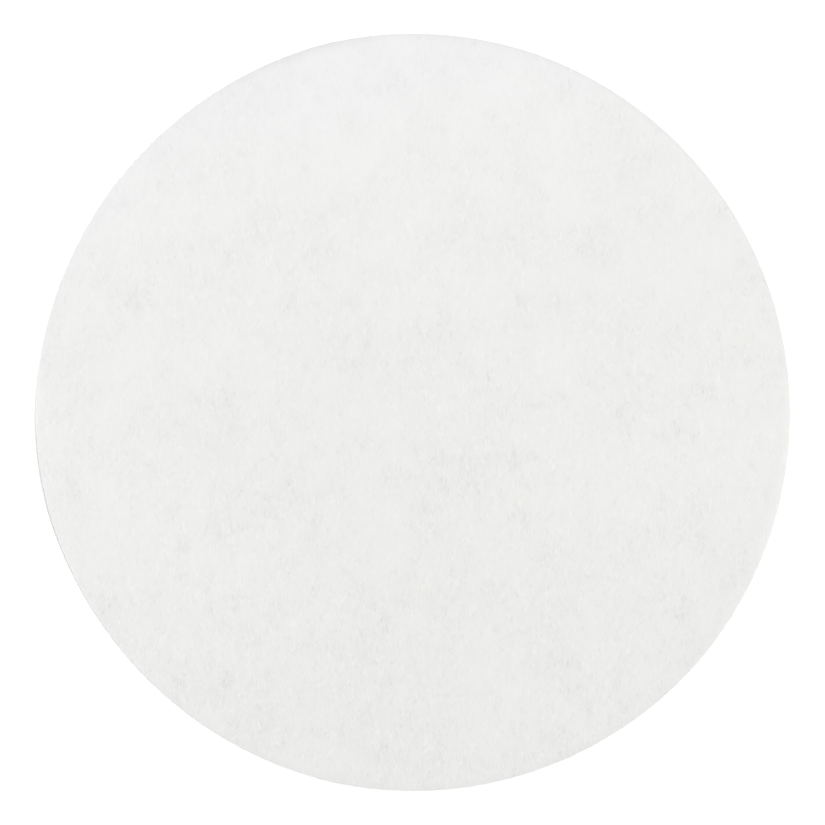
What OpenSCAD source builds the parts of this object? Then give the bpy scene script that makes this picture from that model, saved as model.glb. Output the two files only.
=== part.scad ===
// Round filter paper for a laboratory funnel, lying on a table.
// It is one sheet, cut out by a die. Three stretches of its edge are a little flatter
// than a true circle, and two stretches of its rim are bent up from the table, each on
// a cylinder that starts tangent to the flat sheet, as paper bends without stretching.
// Lengths are millimetres. +Z is up, and the origin is the middle of the underside.
// Directions are degrees from +X, turning towards +Y.

/* [Sheet] */
// Diameter of the cut edge, where it is round
disc_d = 70; // [50:1:150]
// Thickness of the paper
paper_t = 0.18; // [0.12:0.01:0.4]
// How far the slope of the cutting die sets the top of the edge back from the bottom
edge_setback = 0.03; // [0.01:0.01:0.06]

/* [Flattened edge on the right] */
// Direction of its middle
right_flat_dir = 14; // [5:1:20]
// Half of the angle that it covers
right_flat_half_angle = 57; // [45:1:60]
// How far its middle lies inside the circle
right_flat_depth = 0.2; // [0.05:0.05:0.5]

/* [Flattened edge at the upper left] */
// Direction of its middle
upper_flat_dir = 143; // [138:1:148]
// Half of the angle that it covers
upper_flat_half_angle = 38; // [30:1:42]
// How far its middle lies inside the circle
upper_flat_depth = 0.32; // [0.05:0.01:0.5]

/* [Flattened edge at the lower left] */
// Direction of its middle
lower_flat_dir = 227; // [222:1:232]
// Half of the angle that it covers
lower_flat_half_angle = 31; // [25:1:34]
// How far its middle lies inside the circle
lower_flat_depth = 0.18; // [0.05:0.01:0.4]

/* [Lifted rim at the top] */
// Direction of its middle
top_lift_dir = 108; // [98:1:118]
// Width of the bent stretch, from the bend line out to the edge
top_lift_reach = 1.3; // [0.8:0.1:2]
// Height of its edge over the table
top_lift_rise = 0.2; // [0.05:0.01:0.3]

/* [Lifted rim on the left] */
// Direction of its middle
left_lift_dir = 190; // [180:1:200]
// Width of the bent stretch, from the bend line out to the edge
left_lift_reach = 2.2; // [1:0.1:4]
// Height of its edge over the table
left_lift_rise = 0.2; // [0.05:0.01:0.3]

/* [Hidden] */
$fn = 180;

disc_r = disc_d / 2;
edge_slope = edge_setback / paper_t;
// Spare material around the sheet that the cut then takes away
spare = 1;

// Each flattened stretch of the edge: direction, half angle, depth
flats = [
    [right_flat_dir, right_flat_half_angle, right_flat_depth],
    [upper_flat_dir, upper_flat_half_angle, upper_flat_depth],
    [lower_flat_dir, lower_flat_half_angle, lower_flat_depth],
];

// Each lifted stretch of the rim: direction, reach, rise
lifts = [
    [top_lift_dir, top_lift_reach, top_lift_rise],
    [left_lift_dir, left_lift_reach, left_lift_rise],
];
highest_rise = max([for (lift = lifts) lift[2]]);

// Radius of the arc that has this half chord and this height over its chord
function arc_radius(half_chord, height) = (pow(half_chord, 2) + pow(height, 2)) / (2 * height);

// What the die leaves standing: a column whose wall leans in by the edge's slope
module cut_column(radius) {
    height = paper_t + highest_rise + 2 * spare;
    translate([0, 0, -spare])
        cylinder(h = height, r1 = radius + spare * edge_slope, r2 = radius + (spare - height) * edge_slope);
}

// The column for one flattened stretch: a wider one, whose arc ends on the circle
module flat_column(direction, half_angle, depth) {
    chord_x = disc_r * cos(half_angle);
    arc_height = disc_r - chord_x - depth;
    radius = arc_radius(disc_r * sin(half_angle), arc_height);
    rotate([0, 0, direction])
        translate([chord_x + arc_height - radius, 0, 0])
            cut_column(radius);
}

// The whole outline, cut straight down through the sheet
module die_cut() {
    intersection() {
        cut_column(disc_r);
        intersection_for(flat = flats)
            flat_column(flat[0], flat[1], flat[2]);
    }
}

// Side view of a lifted stretch: an arc of paper from the bend line outwards and up
module lift_section(reach, rise) {
    bend_r = arc_radius(reach, rise);
    intersection() {
        translate([0, bend_r])
            difference() {
                circle(r = bend_r);
                circle(r = bend_r - paper_t);
            }
        square([reach + spare, bend_r]);
    }
}

// Brings a section drawn outwards from the bend line to its place on the rim
module along_bend(direction, reach) {
    bend_x = disc_r - reach;
    half_chord = sqrt(pow(disc_r, 2) - pow(bend_x, 2));
    rotate([0, 0, direction])
        translate([bend_x, 0, 0])
            rotate([90, 0, 0])
                linear_extrude(2 * (half_chord + spare), center = true)
                    children();
}

// The sheet before it is cut: flat as far as the bend lines, and bent up beyond them
module bent_sheet() {
    difference() {
        cylinder(h = paper_t, r = disc_r + spare);
        for (lift = lifts)
            along_bend(lift[0], lift[1])
                translate([0, -spare])
                    square([lift[1] + 2 * spare, paper_t + 2 * spare]);
    }
    for (lift = lifts)
        along_bend(lift[0], lift[1])
            lift_section(lift[1], lift[2]);
}

module filter_disc() {
    color([0.93, 0.93, 0.92])
        intersection() {
            bent_sheet();
            die_cut();
        }
}

filter_disc();
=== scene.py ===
import math
import bpy
import numpy as np
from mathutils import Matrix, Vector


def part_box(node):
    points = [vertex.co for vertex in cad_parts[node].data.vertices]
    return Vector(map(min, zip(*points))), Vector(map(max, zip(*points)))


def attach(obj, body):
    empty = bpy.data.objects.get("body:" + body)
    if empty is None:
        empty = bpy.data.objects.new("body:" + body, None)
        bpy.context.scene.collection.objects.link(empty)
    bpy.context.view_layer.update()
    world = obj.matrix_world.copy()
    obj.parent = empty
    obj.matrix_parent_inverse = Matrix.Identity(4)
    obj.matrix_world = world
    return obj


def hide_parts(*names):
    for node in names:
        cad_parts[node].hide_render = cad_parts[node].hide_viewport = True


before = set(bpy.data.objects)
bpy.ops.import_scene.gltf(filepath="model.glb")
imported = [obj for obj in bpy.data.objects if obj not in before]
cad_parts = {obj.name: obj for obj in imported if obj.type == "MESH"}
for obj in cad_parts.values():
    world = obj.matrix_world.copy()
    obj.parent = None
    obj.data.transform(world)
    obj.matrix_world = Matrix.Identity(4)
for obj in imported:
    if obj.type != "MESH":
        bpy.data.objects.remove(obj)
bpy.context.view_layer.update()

# Lengths are in metres, and this is one millimetre
MM = 0.001

# Radius of the disc, from the depth of its node, and thickness of the paper
node_low, node_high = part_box("filter_disc")
DISC_R = (node_high.y - node_low.y) / 2
PAPER_T = 0.18 * MM

# Flattened stretches of the cut edge: direction and half angle in degrees, depth
FLATS = (
    (14, 57, 0.20 * MM),
    (143, 38, 0.32 * MM),
    (227, 31, 0.18 * MM),
)

# Lifted stretches of the rim: direction in degrees, reach inwards, rise
LIFTS = (
    (108, 1.3 * MM, 0.20 * MM),
    (190, 2.2 * MM, 0.20 * MM),
)

# The slope of the cut: how far it sets the top of the edge back, most in one direction, in degrees, and
# least on the other sides, where the top overhangs. The power says how narrow the first stretch is.
MOST_SETBACK = 0.036 * MM
LEAST_SETBACK = -0.010 * MM
SETBACK_DIRECTION = 194
SETBACK_POWER = 14

# The rim's own curls, bent up or pressed down by the die: direction of the middle in degrees, height,
# width
CURLS = (
    (80, 0.060 * MM, 0.58 * MM),
    (255, -0.020 * MM, 0.55 * MM),
    (346, -0.060 * MM, 0.90 * MM),
)

# How ragged the cut edge is: height of its waves, how many of each kind go round the disc, and their seed
RAG_HEIGHT = 0.010 * MM
RAG_WAVES = range(20, 300, 7)
RAG_SEED = 7

# Relief of the top face: name, size of its waves, height from lowest to highest
RELIEF = (
    ("cockle", 9.0 * MM, 0.020 * MM),
    ("felt", 1.1 * MM, 0.003 * MM),
)
# How many layers of smaller waves are on those, and the name of the group of points that they move
RELIEF_DETAIL = 1
TOP_FACE = "top_face"

# The mesh: points round the edge, and loops at these distances inside it
EDGE_POINTS = 800
RIM_LOOPS = (0.70 * MM, 0.46 * MM, 0.30 * MM, 0.17 * MM, 0.07 * MM, 0.0)
# How quickly the moves of the cut edge fade inwards, as a power of the radius
INWARD_FADE = 6
# The angle in degrees from which an edge of the mesh stays sharp
SHARP_ANGLE = 50


# Form of the sheet

def arc_radius(half_chord, height):
    """Radius of the arc that has this half chord and this height over its chord."""
    return (half_chord**2 + height**2) / (2 * height)


def edge_radius(angle):
    """Distance of the cut edge from the middle of the disc, in each direction."""
    radius = np.full(angle.shape, DISC_R)
    for direction, half_angle, depth in FLATS:
        # A flat is a wider arc between the two ends of its stretch of the circle
        half = math.radians(half_angle)
        chord_x = DISC_R * math.cos(half)
        arc_height = DISC_R - chord_x - depth
        arc_r = arc_radius(DISC_R * math.sin(half), arc_height)
        centre_x = chord_x + arc_height - arc_r
        turn = angle - math.radians(direction)
        arc = centre_x * np.cos(turn) + np.sqrt(arc_r**2 - (centre_x * np.sin(turn)) ** 2)
        radius = np.minimum(radius, arc)
    return radius


def lift_height(x, y):
    """Height of the underside over the floor, where the rim bends up."""
    height = np.zeros(x.shape)
    for direction, reach, rise in LIFTS:
        turn = math.radians(direction)
        beyond = np.clip(x * math.cos(turn) + y * math.sin(turn) - (DISC_R - reach), 0, None)
        bend_r = arc_radius(reach, rise)
        height += bend_r - np.sqrt(bend_r**2 - beyond**2)
    return height


def rim_curl(angle, inside):
    """Height of the rim's small curls, at these distances inside the cut edge."""
    height = np.zeros(angle.shape)
    for direction, most, width in CURLS:
        facing = np.clip(np.cos(angle - math.radians(direction)), 0, 1)
        height += most * facing * np.clip(1 - inside / width, 0, 1) ** 2
    return height


def edge_setback(angle):
    """How far the leaning cut sets the top of the edge back from the bottom, in each direction."""
    facing = np.clip(np.cos(angle - math.radians(SETBACK_DIRECTION)), 0, 1) ** SETBACK_POWER
    return LEAST_SETBACK + (MOST_SETBACK - LEAST_SETBACK) * facing


def edge_rag(angle):
    """Small random waves of the cut edge, from fibres that the die pulled."""
    random = np.random.default_rng(RAG_SEED)
    waves = np.zeros(angle.shape)
    for count in RAG_WAVES:
        waves += random.normal() * np.sin(count * angle + random.uniform(0, 2 * math.pi))
    return RAG_HEIGHT * waves / math.sqrt(len(RAG_WAVES))


# Mesh of the sheet

def read_points(mesh):
    """The mesh's points, one in each row."""
    points = np.zeros(len(mesh.vertices) * 3, np.float32)
    mesh.vertices.foreach_get("co", points)
    return points.reshape(-1, 3).astype(float)


def write_points(mesh, points):
    """Moves the mesh's points to these places."""
    mesh.vertices.foreach_set("co", points.astype(np.float32).ravel())
    mesh.update()


def add_flat_sheet():
    """A circle filled with a grid, with more loops close to the cut edge."""
    bpy.ops.object.select_all(action="DESELECT")
    inner_r = DISC_R - RIM_LOOPS[0]
    bpy.ops.mesh.primitive_circle_add(vertices=EDGE_POINTS, radius=inner_r, location=(0, 0, PAPER_T))
    sheet = bpy.context.object
    sheet.name = "filter_paper"
    bpy.ops.object.transform_apply(location=True, rotation=True, scale=True)
    bpy.ops.object.mode_set(mode="EDIT")
    bpy.ops.mesh.select_mode(type="EDGE")
    bpy.ops.mesh.select_all(action="SELECT")
    # A square grid: each of its four sides takes a quarter of the circle's points
    bpy.ops.mesh.fill_grid(span=EDGE_POINTS // 4)
    bpy.ops.mesh.select_all(action="SELECT")
    bpy.ops.mesh.region_to_loop()
    for inner, outer in zip(RIM_LOOPS, RIM_LOOPS[1:]):
        growth = (DISC_R - outer) / (DISC_R - inner)
        bpy.ops.mesh.extrude_edges_move()
        bpy.ops.transform.resize(value=(growth, growth, 1), center_override=(0, 0, PAPER_T))
    bpy.ops.mesh.select_all(action="SELECT")
    bpy.ops.mesh.normals_make_consistent(inside=False)
    bpy.ops.object.mode_set(mode="OBJECT")
    return sheet


def face_up(sheet):
    """Turns the faces upwards, so that the thickness goes down to the floor."""
    upward = sum(polygon.normal.z for polygon in sheet.data.polygons)
    if upward < 0:
        sheet.data.flip_normals()


def thicken(sheet):
    """Gives the sheet its thickness, below the faces that it has."""
    bpy.context.view_layer.objects.active = sheet
    bpy.ops.object.modifier_add(type="SOLIDIFY")
    solidify = sheet.modifiers[-1]
    solidify.thickness = PAPER_T
    solidify.offset = -1
    bpy.ops.object.modifier_apply(modifier=solidify.name)


def shape_sheet(sheet):
    """Moves the points to the cut outline, curls the rim and bends up its lifted stretches."""
    points = read_points(sheet.data)
    is_top = points[:, 2] > PAPER_T / 2
    radius = np.hypot(points[:, 0], points[:, 1])
    angle = np.arctan2(points[:, 1], points[:, 0])
    inside = DISC_R - radius

    near_edge = np.clip(radius / (DISC_R - RIM_LOOPS[0]), 0, 1) ** INWARD_FADE
    shift = (edge_radius(angle) - DISC_R + edge_rag(angle)) * near_edge
    # Only the outermost loop of the top is set back
    on_top_edge = is_top & (inside < RIM_LOOPS[-2] / 2)
    new_radius = radius + shift - np.where(on_top_edge, edge_setback(angle), 0)
    points[:, 0] = new_radius * np.cos(angle)
    points[:, 1] = new_radius * np.sin(angle)

    # The underside follows a curl up, and stays on the floor where the top is pressed down
    curl = rim_curl(angle, inside)
    flat_height = np.where(is_top, PAPER_T + curl, np.maximum(curl, 0))
    points[:, 2] = flat_height + lift_height(points[:, 0], points[:, 1])
    write_points(sheet.data, points)
    return np.flatnonzero(is_top)


def add_relief(sheet, top_points):
    """Cockle and felt of the top face, as two displacements."""
    # The group goes by its name, because it is made anew when a modifier is applied
    sheet.vertex_groups.new(name=TOP_FACE).add(top_points.tolist(), 1.0, "REPLACE")
    bpy.context.view_layer.objects.active = sheet
    for name, wave, height in RELIEF:
        clouds = bpy.data.textures.new(name, "CLOUDS")
        clouds.noise_scale = wave
        clouds.noise_depth = RELIEF_DETAIL
        bpy.ops.object.modifier_add(type="DISPLACE")
        displace = sheet.modifiers[-1]
        displace.texture = clouds
        displace.texture_coords = "LOCAL"
        displace.direction = "Z"
        displace.strength = height
        displace.vertex_group = TOP_FACE
        bpy.ops.object.modifier_apply(modifier=displace.name)


def smooth_sheet(sheet):
    """Shades the faces smooth, and keeps the cut edge sharp."""
    bpy.ops.object.select_all(action="DESELECT")
    sheet.select_set(True)
    bpy.context.view_layer.objects.active = sheet
    bpy.ops.object.shade_smooth_by_angle(angle=math.radians(SHARP_ANGLE))


def make_sheet():
    """The whole sheet of paper, without its material."""
    sheet = add_flat_sheet()
    face_up(sheet)
    thicken(sheet)
    top_points = shape_sheet(sheet)
    add_relief(sheet, top_points)
    smooth_sheet(sheet)
    return sheet


# Material nodes

def make_node(tree, kind, inputs, **settings):
    """Adds a node, sets its options, and sets or links its input sockets."""
    node = tree.nodes.new(kind)
    for name, value in settings.items():
        setattr(node, name, value)
    for name, value in inputs.items():
        if isinstance(value, bpy.types.NodeSocket):
            tree.links.new(value, node.inputs[name])
        else:
            node.inputs[name].default_value = value
    return node


def maths(tree, operation, first, second=0.0):
    """The result of one operation on two values."""
    return make_node(tree, "ShaderNodeMath", {0: first, 1: second}, operation=operation).outputs[0]


def total(tree, values):
    """All the values added up."""
    result = values[0]
    for value in values[1:]:
        result = maths(tree, "ADD", result, value)
    return result


def ramp(tree, value, start, end, first, last, curve="LINEAR"):
    """Goes from first to last as the value goes from start to end, and stays level beyond them."""
    inputs = {"Value": value, "From Min": start, "From Max": end, "To Min": first, "To Max": last}
    return make_node(tree, "ShaderNodeMapRange", inputs, interpolation_type=curve).outputs[0]


def fall_off(tree, distance, width):
    """1 at no distance, and down to 0 at the width."""
    return ramp(tree, distance, 0.0, width, 1.0, 0.0, "SMOOTHSTEP")


def in_cells(tree, place, cell, start, turn=0):
    """The place on the sheet, counted in cells of a size in millimetres that lie at a turn."""
    inputs = {
        "Vector": place,
        "Location": (start[0] * MM, start[1] * MM, 0),
        "Rotation": (0, 0, math.radians(turn)),
        "Scale": (cell[0] * MM, cell[1] * MM, 1),
    }
    return make_node(tree, "ShaderNodeMapping", inputs, vector_type="TEXTURE").outputs[0]


def distance_from(tree, place, middle, size=(1, 1)):
    """Distance from a middle, in millimetres, or counted in a size across and a size along."""
    where = in_cells(tree, place, size, middle)
    return make_node(tree, "ShaderNodeVectorMath", {0: where}, operation="LENGTH").outputs["Value"]


def noise(tree, where, detail=0.0, roughness=0.5, distortion=0.0):
    """Smooth random waves about zero, one to a cell."""
    inputs = {
        "Vector": where,
        "Scale": 1.0,
        "Detail": detail,
        "Roughness": roughness,
        "Distortion": distortion,
    }
    waves = make_node(tree, "ShaderNodeTexNoise", inputs, noise_dimensions="2D").outputs["Fac"]
    return maths(tree, "SUBTRACT", waves, 0.5)


def new_material(name):
    """A material with its node tree and its shader."""
    material = bpy.data.materials.new(name)
    material.use_nodes = True
    tree = material.node_tree
    return material, tree, tree.nodes["Principled BSDF"]


# Filter paper. Each layer is a share of the paper's own tone, and is added to it.

CREAM_PAPER = (0.854, 0.857, 0.837, 1)
WHITE_PAPER = (0.8545, 0.853, 0.853, 1)

# The broad patch where the paper is cream: its half sizes and middle in millimetres, and the shares of
# those sizes between which it turns white
CREAM_PATCH = ((49, 28), (15.8, -5.3))
CREAM_FADE = (0.5, 1.5)

# Painted highlights: lighter crescents along the cut that stand in for light falling on the rim:
# direction in degrees of the middle, how far behind the middle of the disc the inner curve is centred,
# width in millimetres, strength
PAINTED_RIM_HIGHLIGHTS = (
    (-15, 8, 1.1, 0.050),
    (174, 25, 0.7, 0.035),
    (216, 25, 0.8, 0.045),
)

# Broad layers: size of a cell in millimetres, detail, roughness, where the pattern starts, strength. The
# drift and the clouds start where their patterns are most like the photograph's broad light and dark.
DRIFT = ((27, 27), 0.0, 0.50, (-636.5, -927.5), 0.032)
CLOUDS = ((12, 12), 2.0, 0.75, (-816.5, 128.5), 0.056)
MOTTLE = ((3.4, 3.7), 2.0, 0.60, (90, 180), 0.037)
GRAIN = ((0.18, 0.25), 1.0, 0.70, (150, 300), 0.016)

# Darker blotches, where a wave rises over a level: the same facts, and the level
BLOTCHES = ((2.4, 2.8), 1.0, 0.50, (210, 420), 0.078)
BLOTCH_LEVEL = 0.09

# Short fibres, one in each cell: turn in degrees, size of a cell, share of it covered, start, strength
SHORT_FIBRES = (
    (26, (0.185, 0.77), 0.60, (260, 520), 0.120),
    (-1, (0.200, 1.10), 0.58, (310, 620), 0.132),
    (-29, (0.210, 0.67), 0.60, (360, 720), 0.112),
)

# Long fibres, along the lines where a wave passes zero: the same, with a width in wave height instead of
# the share covered
LONG_FIBRES = (
    (19, (0.50, 2.9), 0.035, (410, 820), 0.075),
    (-4, (0.62, 3.8), 0.028, (460, 920), 0.089),
    (-33, (0.45, 2.4), 0.035, (510, 1020), 0.069),
)
# How they wander, as the detail, roughness and distortion of that wave
LONG_FIBRE_WANDER = (1.0, 0.4, 0.4)
# Size in millimetres of the places where they are lighter or darker
LONG_FIBRE_SHADE = (1.1, 2.5)

# Dark specks, one in each cell: size of a cell, share of it covered, start, strength. The higher the
# power, the fewer are dark.
SPECKS = ((0.43, 0.53), 0.42, (560, 1120), 0.028)
SPECK_POWER = 3.0

# How much the fine layers fade towards the back of the disc, how much they grow where the paper is
# darker, and the least and the most that they grow to
FINE_FADE = 0.36
FINE_GROWTH = 34.0
FINE_LIMITS = (0.2, 2.4)
# Small places where the fine layers are busier or quieter: the same facts as for a broad layer
BUSY = ((0.85, 0.95), 0.0, 0.50, (610, 1220), 1.9)
# The most that a fibre is lighter than the paper round it
LIGHTEST_FIBRE = 0.048

# Bump of the felt: the height that a whole share of tone would have
FELT_BUMP = 0.12 * MM
# Roughness where the fibres are dark and where they are light, and the share of tone that counts as that
FIBRE_ROUGHNESS = (0.96, 0.86)
ROUGHNESS_TONE = 0.02
PAPER_SPECULAR = 0.2


def cream_share(tree, place):
    """1 in the middle of the cream patch, and 0 well outside it."""
    size, middle = CREAM_PATCH
    start, end = CREAM_FADE
    return ramp(tree, distance_from(tree, place, middle, size), start, end, 1.0, 0.0, "SMOOTHSTEP")


def painted_rim_highlight_layer(tree, place, facts):
    """A painted highlight: a lighter crescent that grows from nothing at its inner curve to its full
    strength at the cut.
    """
    direction, offset, width, strength = facts
    turn = math.radians(direction)
    middle = (-offset * math.cos(turn), -offset * math.sin(turn))
    outer = DISC_R / MM + offset
    return ramp(tree, distance_from(tree, place, middle), outer - width, outer, 0.0, strength)


def broad_layer(tree, place, facts):
    """Waves that are lighter in some places and darker in others."""
    cell, detail, roughness, start, strength = facts
    waves = noise(tree, in_cells(tree, place, cell, start), detail, roughness)
    return maths(tree, "MULTIPLY", waves, strength)


def blotch_layer(tree, place):
    """Separate dark blotches, with paper of an even tone between them."""
    cell, detail, roughness, start, strength = BLOTCHES
    waves = noise(tree, in_cells(tree, place, cell, start), detail, roughness)
    risen = maths(tree, "MAXIMUM", maths(tree, "SUBTRACT", waves, BLOTCH_LEVEL), 0.0)
    return maths(tree, "MULTIPLY", risen, -strength)


def random_cells(tree, where, cover):
    """A soft spot in the middle of each random cell, and a random shade from 0 to 1 for each."""
    inputs = {"Vector": where, "Scale": 1.0}
    cells = make_node(tree, "ShaderNodeTexVoronoi", inputs, voronoi_dimensions="2D")
    spot = fall_off(tree, cells.outputs["Distance"], cover)
    shade = make_node(tree, "ShaderNodeSeparateColor", {"Color": cells.outputs["Color"]}).outputs[0]
    return spot, shade


def short_fibre_layer(tree, place, facts):
    """Short straight fibres, a few much lighter or darker than the rest."""
    turn, cell, cover, start, strength = facts
    spot, shade = random_cells(tree, in_cells(tree, place, cell, start, turn), cover)
    signed = maths(tree, "SUBTRACT", shade, 0.5)
    signed = maths(tree, "MULTIPLY", signed, maths(tree, "ABSOLUTE", signed))
    return maths(tree, "MULTIPLY", maths(tree, "MULTIPLY", spot, signed), strength)


def long_fibre_layer(tree, place, facts):
    """Long thin fibres that wander a little, lighter in some places and darker in others."""
    turn, cell, width, start, strength = facts
    waves = noise(tree, in_cells(tree, place, cell, start, turn), *LONG_FIBRE_WANDER)
    line = fall_off(tree, maths(tree, "ABSOLUTE", waves), width)
    shade = noise(tree, in_cells(tree, place, LONG_FIBRE_SHADE, start, turn))
    return maths(tree, "MULTIPLY", maths(tree, "MULTIPLY", line, shade), strength)


def speck_layer(tree, place):
    """Small dark specks, most of them faint."""
    cell, cover, start, strength = SPECKS
    spot, shade = random_cells(tree, in_cells(tree, place, cell, start), cover)
    dark = maths(tree, "POWER", shade, SPECK_POWER)
    return maths(tree, "MULTIPLY", maths(tree, "MULTIPLY", spot, dark), -strength)


def coarse_tone(tree, place):
    """Clouds, mottle and blotches."""
    layers = [broad_layer(tree, place, facts) for facts in (CLOUDS, MOTTLE)]
    return total(tree, layers + [blotch_layer(tree, place)])


def fine_strength(tree, place, coarse):
    """Weaker towards the back of the disc, stronger where the paper is dark, and uneven all over."""
    back = make_node(tree, "ShaderNodeSeparateXYZ", {"Vector": place}).outputs["Y"]
    fade = maths(tree, "SUBTRACT", 1.0, maths(tree, "MULTIPLY", back, FINE_FADE / DISC_R))
    growth = maths(tree, "SUBTRACT", 1.0, maths(tree, "MULTIPLY", coarse, FINE_GROWTH))
    growth = maths(tree, "MULTIPLY", growth, maths(tree, "ADD", broad_layer(tree, place, BUSY), 1.0))
    least, most = FINE_LIMITS
    growth = make_node(tree, "ShaderNodeClamp", {"Value": growth, "Min": least, "Max": most}).outputs[0]
    return maths(tree, "MULTIPLY", fade, growth)


def fine_tone(tree, place, coarse):
    """Grain, specks and fibres, none of them lighter than the lightest fibre."""
    layers = [broad_layer(tree, place, GRAIN), speck_layer(tree, place)]
    layers += [short_fibre_layer(tree, place, facts) for facts in SHORT_FIBRES]
    layers += [long_fibre_layer(tree, place, facts) for facts in LONG_FIBRES]
    fine = maths(tree, "MULTIPLY", total(tree, layers), fine_strength(tree, place, coarse))
    return maths(tree, "MINIMUM", fine, LIGHTEST_FIBRE)


def paper_material():
    """White uncoated paper: clouds, blotches, and a felt of fibres that lie mostly one way."""
    material, tree, shader = new_material("filter_paper")
    place = tree.nodes.new("ShaderNodeTexCoord").outputs["Object"]
    coarse = coarse_tone(tree, place)
    fine = fine_tone(tree, place, coarse)
    # Painted highlights along the rim, added to the paper's tone
    rim_highlights = [painted_rim_highlight_layer(tree, place, facts) for facts in PAINTED_RIM_HIGHLIGHTS]
    tone = total(tree, [broad_layer(tree, place, DRIFT), coarse, fine] + rim_highlights)

    mix_inputs = {"Factor": cream_share(tree, place), "A": WHITE_PAPER, "B": CREAM_PAPER}
    mix = make_node(tree, "ShaderNodeMix", mix_inputs, data_type="RGBA")
    colour_inputs = {"Vector": mix.outputs["Result"], "Scale": maths(tree, "ADD", tone, 1.0)}
    colour = make_node(tree, "ShaderNodeVectorMath", colour_inputs, operation="SCALE")
    tree.links.new(colour.outputs[0], shader.inputs["Base Color"])
    shader.inputs["Specular IOR Level"].default_value = PAPER_SPECULAR

    dark_rough, light_rough = FIBRE_ROUGHNESS
    rough = ramp(tree, fine, -ROUGHNESS_TONE, ROUGHNESS_TONE, dark_rough, light_rough)
    tree.links.new(rough, shader.inputs["Roughness"])
    bump = make_node(tree, "ShaderNodeBump", {"Height": fine, "Distance": FELT_BUMP, "Strength": 1.0})
    tree.links.new(bump.outputs[0], shader.inputs["Normal"])
    return material


# Stage, light and camera

# The floor: its size in metres, how far it lies under the sheet, its grey, and its glow to the view
FLOOR_SIZE = 6.0
FLOOR_DROP = 0.01 * MM
FLOOR_COLOUR = 0.58
FLOOR_GLOW = 0.60

# The light from all round, as a share of white
AMBIENT = 0.225
# Each lamp: place, width and height in metres, and the share of white that it gives on the sheet
LAMPS = {
    "key_lamp": ((0.377, 0.101, 0.92), 0.22, 0.22, 0.455),
    "top_lamp": ((-0.03, 0.29, 0.47), 0.30, 0.20, 0.30),
    "left_lamp": ((-0.10, 0.0, 0.10), 0.10, 0.05, 0.053),
}

# The photograph's frame, in pixels, and where the middle and the edge of the disc lie in it
FRAME_PX = 825
DISC_X_PX = 413.55
DISC_Y_PX = 412.22
DISC_R_PX = 378.44

# The camera: its height and the distances between which it sees in metres, its sensor in millimetres
CAMERA_HEIGHT = 1.0
NEAREST_SEEN = 0.01
FARTHEST_SEEN = 10
SENSOR_WIDTH = 36


def seen_by_view(tree):
    """1 for what the camera sees, straight or in a reflection, and 0 for light that falls on things."""
    path = tree.nodes.new("ShaderNodeLightPath")
    seen = maths(tree, "MAXIMUM", path.outputs["Is Camera Ray"], path.outputs["Is Glossy Ray"])
    return maths(tree, "MAXIMUM", seen, path.outputs["Is Transmission Ray"])


def floor_material():
    """A white floor: a matt surface that keeps shadows, and a glow that only the view sees."""
    material, tree, shader = new_material("studio_floor")
    shader.inputs["Base Color"].default_value = (FLOOR_COLOUR, FLOOR_COLOUR, FLOOR_COLOUR, 1)
    shader.inputs["Roughness"].default_value = 1
    shader.inputs["Specular IOR Level"].default_value = 0
    shader.inputs["Emission Color"].default_value = (1, 1, 1, 1)
    glow = maths(tree, "MULTIPLY", seen_by_view(tree), FLOOR_GLOW)
    tree.links.new(glow, shader.inputs["Emission Strength"])
    return material


def add_floor():
    """A plain pale floor under the sheet."""
    bpy.ops.object.select_all(action="DESELECT")
    bpy.ops.mesh.primitive_plane_add(size=FLOOR_SIZE, location=(0, 0, -FLOOR_DROP))
    floor = bpy.context.object
    floor.name = "studio_floor"
    bpy.ops.object.transform_apply(location=True, rotation=True, scale=True)
    floor.data.materials.append(floor_material())


def add_lamp(name, place, width, height, level):
    """An area lamp turned to the middle of the sheet, at a share of white there."""
    x, y, z = place
    distance = math.sqrt(x * x + y * y + z * z)
    bpy.ops.object.light_add(type="AREA", location=place)
    lamp = bpy.context.object
    lamp.name = name
    lamp.data.shape = "RECTANGLE"
    lamp.data.size = width
    lamp.data.size_y = height
    # The power at which a white matt sheet that lies there shows this share of white
    lamp.data.energy = level * math.pi**2 * distance**3 / z
    lamp.visible_camera = False
    lamp.rotation_mode = "QUATERNION"
    lamp.rotation_quaternion = lamp.location.to_track_quat("Z", "Y")


def light_world():
    """Even light from all round, and plain white where the view meets it."""
    world = bpy.data.worlds.new("studio")
    world.use_nodes = True
    tree = world.node_tree
    background = tree.nodes["Background"]
    background.inputs["Color"].default_value = (1, 1, 1, 1)
    strength = ramp(tree, seen_by_view(tree), 0.0, 1.0, AMBIENT, 1.0)
    tree.links.new(strength, background.inputs["Strength"])
    bpy.context.scene.world = world


def add_camera():
    """Looks straight down, framed so that the disc has the photograph's place and size."""
    metres_per_px = DISC_R / DISC_R_PX
    x = (FRAME_PX / 2 - DISC_X_PX) * metres_per_px
    y = (DISC_Y_PX - FRAME_PX / 2) * metres_per_px
    bpy.ops.object.camera_add(location=(x, y, CAMERA_HEIGHT), rotation=(0, 0, 0))
    camera = bpy.context.object
    camera.name = "camera"
    camera.data.sensor_width = SENSOR_WIDTH
    camera.data.lens = SENSOR_WIDTH * CAMERA_HEIGHT / (FRAME_PX * metres_per_px)
    camera.data.clip_start = NEAREST_SEEN
    camera.data.clip_end = FARTHEST_SEEN
    bpy.context.scene.camera = camera


# The whole scene

bpy.context.scene.view_settings.view_transform = "Standard"
add_camera()
light_world()
for lamp_name, lamp_facts in LAMPS.items():
    add_lamp(lamp_name, *lamp_facts)
add_floor()

paper = make_sheet()
paper.data.materials.append(paper_material())
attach(paper, "root")
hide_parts("filter_disc")
